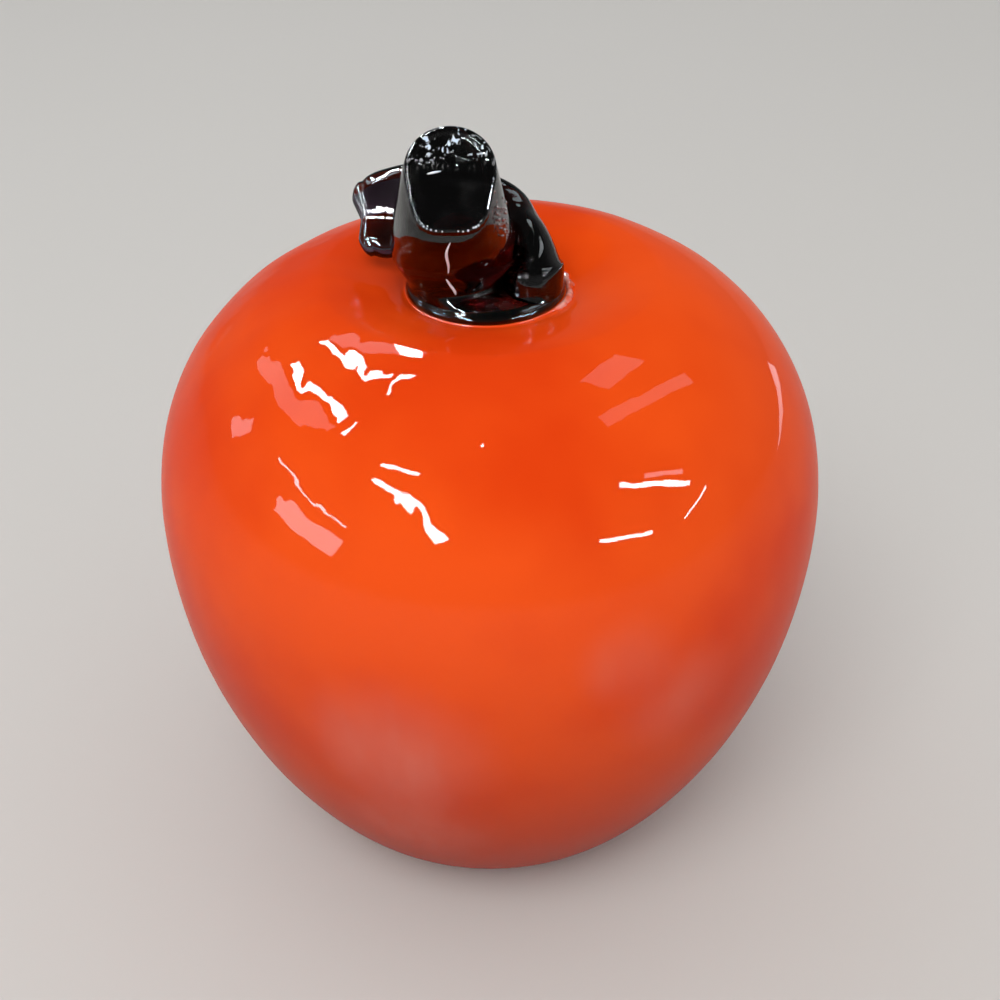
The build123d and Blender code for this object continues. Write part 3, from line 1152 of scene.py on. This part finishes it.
class GLASSAPPLE_OT_stem(bpy.types.Operator):
    """Draw the stem: plug, round foot, leaning shank, sheared end and seed bubbles"""

    bl_idname = "glassapple.stem"
    bl_label = "Stem"

    def execute(self, context):
        stem = context.scene.glass_stem
        seat = seat_height(context.scene.glass_body)
        end, face, slope = sheared_end(stem, seat)
        rings = [[UP * (seat - stem.plug_length)]]
        for radius_share, height_share in PLUG_RINGS:
            size = 2 * radius_share * stem.plug_radius
            level = seat - stem.plug_length * (1 - height_share)
            rings.append(level_ring(STEM_TURNS, size, size, UP * level))
        rings += foot_rings(stem, seat, FOOT_RINGS)
        rings += flare_rings(stem, seat, FLARE_RINGS, 1.0, 1.0)
        shank = shank_rings(stem, shank_keys(stem, seat))[1:]
        rings += shank + self.end_rings(stem, end, face)
        glass = amethyst("stem_amethyst", stem, "stem_skin")
        painted_sparkle_end(glass, end, face, slope, stem.end_length)
        piece = finish_mesh("stem_glass", rings, STEM_NODE, glass)
        self.add_bubbles(piece, stem, seat)
        # Pale threads on the shank's front: painted highlights
        for number, thread in enumerate(HIGHLIGHT_THREADS, start=1):
            line = self.painted_highlight_thread(shank, *thread)
            highlight_glass = pale_thread_glass()
            finish_mesh(f"pale_thread_{number}", line, STEM_NODE, highlight_glass)
        return {"FINISHED"}

    def end_rings(self, stem, end, face):
        """Rings of the rounded rim and the puckered face, down to the middle point."""
        rings = []
        for bend in RIM_BENDS:
            drop = stem.rounding * (1 - sin(radians(bend)))
            inward = 2 * stem.rounding * (1 - cos(radians(bend)))
            size = (stem.end_width - inward, stem.end_length - inward)
            points = oval(STEM_TURNS, *size, END_TAPER, END_FLAT)
            rings.append(place_ring(points, end - face * drop, ACROSS, face))
        width = stem.end_width - 2 * stem.rounding
        length = stem.end_length - 2 * stem.rounding
        for step in range(1, FACE_STEPS):
            size = 1 - step / FACE_STEPS
            ring = []
            for x, y in oval(STEM_TURNS, width * size, length * size, END_TAPER, END_FLAT):
                sunk = end - face * self.crinkle(stem, x, y, size)
                ring += place_ring([(x, y)], sunk, ACROSS, face)
            rings.append(ring)
        rings.append([end - face * self.crinkle(stem, 0.0, 0.0, 0.0)])
        return rings

    def crinkle(self, stem, x, y, size):
        """Depth of the sheared face below its plane: puckered at the top, smooth lower down."""
        top = smooth_step(y, *(share * stem.end_length for share in PUCKER_RANGE))
        spot = Vector((x, y, 0)) * PUCKER_WAVES
        fine = swell(spot * FINE_WAVES + FINE_START)
        dish = 0.5 * (1 - size * size)
        edge = smooth_step(1 - size, 0.0, RIM_SHARE)
        puckered = top * (PUCKER_SHARE * swell(spot) + FINE_SHARE * fine)
        return stem.rounding * edge * (DISH_SHARE * dish + puckered)

    def painted_highlight_thread(self, rings, low, high, turn_low, turn_high, inward, radius):
        """Rings of a thin pale thread, a painted highlight, that runs up the front of the shank,
        half sunk in it.
        """
        line = []
        for step in range(THREAD_STEPS + 1):
            share = step / THREAD_STEPS
            level = (low + share * (high - low)) * (len(rings) - 1)
            index = min(int(level), len(rings) - 2)
            waver = THREAD_WAVER * sin(THREAD_WAVES * share)
            turn = (turn_low + share * (turn_high - turn_low) + waver) * STEM_TURNS
            first = int(turn)
            pair = [
                ring[first % STEM_TURNS].lerp(ring[(first + 1) % STEM_TURNS], turn - first)
                for ring in rings[index : index + 2]
            ]
            spot = pair[0].lerp(pair[1], level - index)
            centre = sum(rings[index], Vector()) / STEM_TURNS
            spot += (centre - spot).normalized() * inward
            if step in (0, THREAD_STEPS):
                line.append([spot])
                continue
            size = 2 * radius * sqrt(max(0.0, sin(pi * share)))
            line.append(level_ring(THREAD_TURNS, size, size, spot))
        return line

    def add_bubbles(self, piece, stem, seat):
        """Seed bubbles under the right side of the shank, as small inward-facing spheres."""
        shape = bmesh.new()
        shape.from_mesh(piece.data)
        side, forward, rise = BUBBLE_MIDDLE
        middle = Vector((side * stem.offset, forward * stem.forward, seat + rise * stem.rise))
        for index in range(stem.bubble_count):
            names = ("bubble_side", "bubble_forward", "bubble_height")
            drift = [far * drawn(name, index) for far, name in zip(BUBBLE_SCATTER, names)]
            spot = Matrix.Translation(middle + Vector(drift))
            share = SMALLEST_BUBBLE + (1 - SMALLEST_BUBBLE) * abs(drawn("bubble_size", index))
            size = stem.bubble_radius * share
            made = bmesh.ops.create_icosphere(shape, subdivisions=2, radius=size, matrix=spot)
            faces = {face for vert in made["verts"] for face in vert.link_faces}
            bmesh.ops.reverse_faces(shape, faces=list(faces))
        fill_smooth(piece.data, shape)


class GLASSAPPLE_OT_core(bpy.types.Operator):
    """Gather the dark core of the stem and bead its cut lip, the beads painted pale as glints"""

    bl_idname = "glassapple.core"
    bl_label = "Stem core"

    def execute(self, context):
        stem = context.scene.glass_stem
        seat = seat_height(context.scene.glass_body)
        rings = [[Vector((-stem.foot_left, -stem.foot_forward, seat))]]
        rings += foot_rings(stem, seat, CORE_FOOT_RINGS)
        rings += flare_rings(stem, seat, FLARE_RINGS[:-1], CORE_FLARE, CORE_FLARE_RISE)
        keys = [
            (*key[:3], wide * key[3], deep * key[4], key[5])
            for key, (wide, deep) in zip(shank_keys(stem, seat), CORE_SHARES)
        ]
        top = Vector(keys[-1][:3]) - sheared_end(stem, seat)[1] * stem.core_depth
        keys[-1] = (*top, *keys[-1][3:])
        rings += shank_rings(stem, keys)
        rings.append([top])
        finish_mesh("stem_core", rings, STEM_NODE, amethyst_core(stem))
        self.add_beads(stem, seat)
        return {"FINISHED"}

    def add_beads(self, stem, seat):
        """Small beads along the lower lip of the sheared end, and the nick above them, painted
        pale as glints.
        """
        shape = bmesh.new()
        end, face, slope = sheared_end(stem, seat)
        rim_size = (stem.end_width - stem.rounding, stem.end_length - stem.rounding)
        rim = oval(BEAD_RIM_TURNS, *rim_size, END_TAPER, END_FLAT)
        low = sorted(
            point for point in rim if point[1] < 0 and abs(point[0]) < BEAD_SPAN * stem.end_width
        )
        least, more = BEAD_SIZES
        for index in range(stem.bead_count):
            stray = drawn("bead_place", index)
            along = int((index + 0.5 + BEAD_STRAY_ALONG * stray) * len(low) / stem.bead_count)
            x, y = low[min(len(low) - 1, along)]
            spot = end + ACROSS * x + slope * (y + BEAD_STRAY_UP * stray)
            spot -= face * BEAD_DEPTH * stem.rounding
            size = stem.bead_radius * (least + more * abs(drawn("bead_size", index)))
            stretch = Matrix.Diagonal((1.0 + BEAD_STRETCH * max(0.0, stray), 1.0, 1.0, 1.0))
            shaped = Matrix.Translation(spot) @ stretch
            bmesh.ops.create_icosphere(shape, subdivisions=2, radius=size, matrix=shaped)
        side, up_slope, depth = NICK_PLACE
        spot = end + ACROSS * (side * stem.end_width) + slope * (up_slope * stem.end_length)
        turn = Matrix((ACROSS, slope, face)).transposed().to_4x4()
        turn = turn @ Matrix.Rotation(NICK_TURN, 4, "Z") @ Matrix.Diagonal(NICK_SHAPE)
        shaped = Matrix.Translation(spot - face * depth) @ turn
        bmesh.ops.create_icosphere(shape, subdivisions=3, radius=stem.bead_radius, matrix=shaped)
        add_piece("painted_glint_beads", shape, STEM_NODE, painted_glint_beads())


class GLASSAPPLE_OT_leaf(bpy.types.Operator):
    """Pull the leaf: root lobe on the foot, ribbon behind the stem, pinched blade at the left"""

    bl_idname = "glassapple.leaf"
    bl_label = "Leaf"

    def execute(self, context):
        leaf = context.scene.glass_leaf
        seat = seat_height(context.scene.glass_body)
        rows = spread(self.keys(leaf, seat, context.scene.glass_stem), LEAF_STEPS)
        rings = [[Vector(rows[0][:3])]]
        for x, y, z, width, thickness, way_x, way_y, way_z, roll, groove in rows:
            origin, way = Vector((x, y, z)), Vector((way_x, way_y, way_z))
            points = oval(LEAF_TURNS, width, thickness, groove=groove)
            ring = place_ring(points, origin, Vector((0, cos(roll), sin(roll))), way)
            rings.append(
                [point.lerp(origin, PINCER_DEPTH * swell(point * PINCER_WAVES)) for point in ring]
            )
        rings += self.tip_rings(leaf, rows[-1])
        glass = amethyst("leaf_amethyst", leaf, "leaf_skin")
        finish_mesh("leaf_glass", rings, LEAF_NODE, glass)
        return {"FINISHED"}

    def keys(self, leaf, seat, stem):
        """Rows of centre, width, thickness, way, roll and groove, from the root to the tip."""
        keys = []
        for on_foot, side, forward, rise, width, thickness, left, back in ROOT_STATIONS:
            level = seat + on_foot * stem.foot_thickness + rise * leaf.rise
            place = (side * leaf.root_side, forward * leaf.root_forward, level)
            size = (width * leaf.root_width, thickness * leaf.root_thickness)
            keys.append((*place, *size, -left, back, 1.0, 0.0, 0.0))
        places = [Vector(keys[-1][:3])]
        for side, back, rise, *_ in BLADE_STATIONS:
            place = (-side * leaf.reach, back * leaf.setback, seat + rise * leaf.rise)
            places.append(Vector(place))
        for index, (*_, width, thickness, roll, groove) in enumerate(BLADE_STATIONS, start=1):
            run = places[min(index + 1, len(places) - 1)] - places[index - 1]
            size = (width * leaf.width, thickness * leaf.thickness)
            way = run.normalized() * BLADE_PULL
            keys.append((*places[index], *size, *way, roll * leaf.roll, groove))
        return keys

    def tip_rings(self, leaf, row):
        """Rings of the rounded, creased tip beyond the last row."""
        origin, way = Vector(row[:3]), Vector(row[5:8]).normalized()
        width, thickness, roll, groove = row[3], row[4], row[8], row[9]
        rings = []
        for bend in TIP_BENDS:
            size, out = cos(radians(bend)), leaf.tip_bulge * sin(radians(bend))
            wide = width * (TIP_WIDTH + (1 - TIP_WIDTH) * size)
            points = oval(LEAF_TURNS, wide, thickness * size, groove=groove)
            ring = place_ring(points, origin, Vector((0, cos(roll), sin(roll))), way)
            for index, (x, _) in enumerate(points):
                lobe = smooth_step(abs(x) / width, *TIP_LOBE_RANGE)
                ring[index] += way * (out * (TIP_MIDDLE + (1 - TIP_MIDDLE) * lobe))
            rings.append(ring)
        rings.append([origin + way * leaf.tip_bulge * TIP_MIDDLE])
        return rings


# Stage ---


def heading(azimuth, elevation):
    """Unit vector of a lamp's place: azimuth 0 is in front of the object, 90 at its right."""
    side, up = radians(azimuth), radians(elevation)
    return Vector((sin(side) * cos(up), -cos(side) * cos(up), sin(up)))


def add_lamp(name, stage, first, second, wide, radiance):
    """A rectangular lamp whose long side runs between two headings, with an even brightness."""
    start, end = heading(*first) * stage.lamp_distance, heading(*second) * stage.lamp_distance
    long_side = end - start
    length = long_side.length
    width = 2 * stage.lamp_distance * sin(radians(wide) / 2)
    data = bpy.data.lights.new(name, "AREA")
    data.shape = "RECTANGLE"
    data.size, data.size_y = length, width
    data.energy = 4 * length * width * radiance
    lamp = bpy.data.objects.new(name, data)
    z_way = ((start + end) / 2).normalized()
    x_way = (long_side - z_way * long_side.dot(z_way)).normalized()
    turn = Matrix((x_way, z_way.cross(x_way), z_way)).transposed().to_4x4()
    lamp.matrix_world = Matrix.Translation(UP * stage.lamp_aim + (start + end) / 2) @ turn
    lamp.visible_camera = False
    bpy.context.scene.collection.objects.link(lamp)
    return lamp


class GLASSAPPLE_OT_stage(bpy.types.Operator):
    """Set the pale floor, the soft world, the lamps and the camera"""

    bl_idname = "glassapple.stage"
    bl_label = "Stage"

    def execute(self, context):
        scene, stage = context.scene, context.scene.glass_stage
        half = stage.floor_size / 2
        corners = [(-half, -half, 0), (half, -half, 0), (half, half, 0), (-half, half, 0)]
        mesh = bpy.data.meshes.new("floor")
        mesh.from_pydata(corners, [], [(0, 1, 2, 3)])
        mesh.materials.append(studio_floor(stage))
        floor = bpy.data.objects.new("floor", mesh)
        scene.collection.objects.link(floor)
        self.set_world(scene, stage)
        for name, (first, second, wide, radiance) in LAMPS.items():
            lamp = add_lamp(name, stage, first, second, wide, radiance)
            lamp.visible_diffuse = name == KEY_LAMP
            lamp.visible_glossy = name != KEY_LAMP
            lamp.data.color = KEY_COLOUR if name == KEY_LAMP else MIRRORED_LAMP_COLOUR
        data = bpy.data.cameras.new("camera")
        data.lens = stage.camera_lens
        data.sensor_width = stage.sensor_width
        data.clip_start = stage.nearest
        camera = bpy.data.objects.new("camera", data)
        camera.location = stage.camera_place
        camera.rotation_euler = (stage.camera_tilt, 0, 0)
        scene.collection.objects.link(camera)
        scene.camera = camera
        scene.view_settings.view_transform = "Standard"
        return {"FINISHED"}

    def set_world(self, scene, stage):
        """Soft even light, with a pale backdrop for the camera and clear glass, and a dim one,
        darker higher up, for reflections.
        """
        world = bpy.data.worlds.new("studio")
        scene.world = world
        world.use_nodes = True
        tree = world.node_tree
        tree.nodes.clear()
        light = add_node(tree, "ShaderNodeBackground", Color=FILL_COLOUR, Strength=stage.fill)
        backdrop = add_node(tree, "ShaderNodeBackground", Strength=1.0)
        paths = add_node(tree, "ShaderNodeLightPath").outputs
        glossy, through = paths["Is Glossy Ray"], paths["Is Transmission Ray"]
        upward = split(tree, add_node(tree, "ShaderNodeTexCoord").outputs["Generated"])[2]
        height = mapped(tree, upward, *MIRRORED_RANGE, 0.0, 1.0)
        dim = mixed(tree, height, MIRRORED_LOW, MIRRORED_HIGH)
        mirrored = combined(tree, glossy, through, "SUBTRACT")
        feed(tree, backdrop, Color=mixed(tree, mirrored, BACKDROP_COLOUR, dim))
        seen = combined(tree, paths["Is Camera Ray"], glossy, "MAXIMUM")
        seen = combined(tree, seen, through, "MAXIMUM")
        blend = add_node(tree, "ShaderNodeMixShader")
        feed(tree, blend, Fac=seen)
        tree.links.new(light.outputs["Background"], blend.inputs[1])
        tree.links.new(backdrop.outputs["Background"], blend.inputs[2])
        output = add_node(tree, "ShaderNodeOutputWorld")
        feed(tree, output, Surface=blend.outputs["Shader"])


# Add-on ---

STEPS = [
    ("glassapple.inner_glass", None),
    ("glassapple.body", "glass_body"),
    ("glassapple.lip", "glass_lip"),
    ("glassapple.stem", "glass_stem"),
    ("glassapple.core", None),
    ("glassapple.leaf", "glass_leaf"),
    ("glassapple.stage", "glass_stage"),
]


class GLASSAPPLE_PT_panel(bpy.types.Panel):
    """Buttons and sizes of the glass apple"""

    bl_idname = "GLASSAPPLE_PT_panel"
    bl_label = "Glass apple"
    bl_space_type = "VIEW_3D"
    bl_region_type = "UI"
    bl_category = "Glass apple"

    def draw(self, context):
        layout = self.layout
        for operator, group in STEPS:
            layout.operator(operator)
            if group:
                sizes = getattr(context.scene, group)
                for key in type(sizes).__annotations__:
                    layout.prop(sizes, key)


GROUPS = {
    "glass_body": BodySizes,
    "glass_lip": LipSizes,
    "glass_stem": StemSizes,
    "glass_leaf": LeafSizes,
    "glass_stage": StageSizes,
}

BUTTONS = (
    GLASSAPPLE_OT_inner_glass,
    GLASSAPPLE_OT_body,
    GLASSAPPLE_OT_lip,
    GLASSAPPLE_OT_stem,
    GLASSAPPLE_OT_core,
    GLASSAPPLE_OT_leaf,
    GLASSAPPLE_OT_stage,
    GLASSAPPLE_PT_panel,
)


def register():
    for name, group in GROUPS.items():
        bpy.utils.register_class(group)
        setattr(bpy.types.Scene, name, PointerProperty(type=group))
    for entry in BUTTONS:
        bpy.utils.register_class(entry)


def unregister():
    for entry in reversed(BUTTONS):
        bpy.utils.unregister_class(entry)
    for name, group in GROUPS.items():
        delattr(bpy.types.Scene, name)
        bpy.utils.unregister_class(group)


def main():
    register()
    bpy.ops.glassapple.inner_glass()
    bpy.ops.glassapple.body()
    bpy.ops.glassapple.lip()
    bpy.ops.glassapple.stem()
    bpy.ops.glassapple.core()
    bpy.ops.glassapple.leaf()
    bpy.ops.glassapple.stage()


if __name__ == "__main__":
    main()
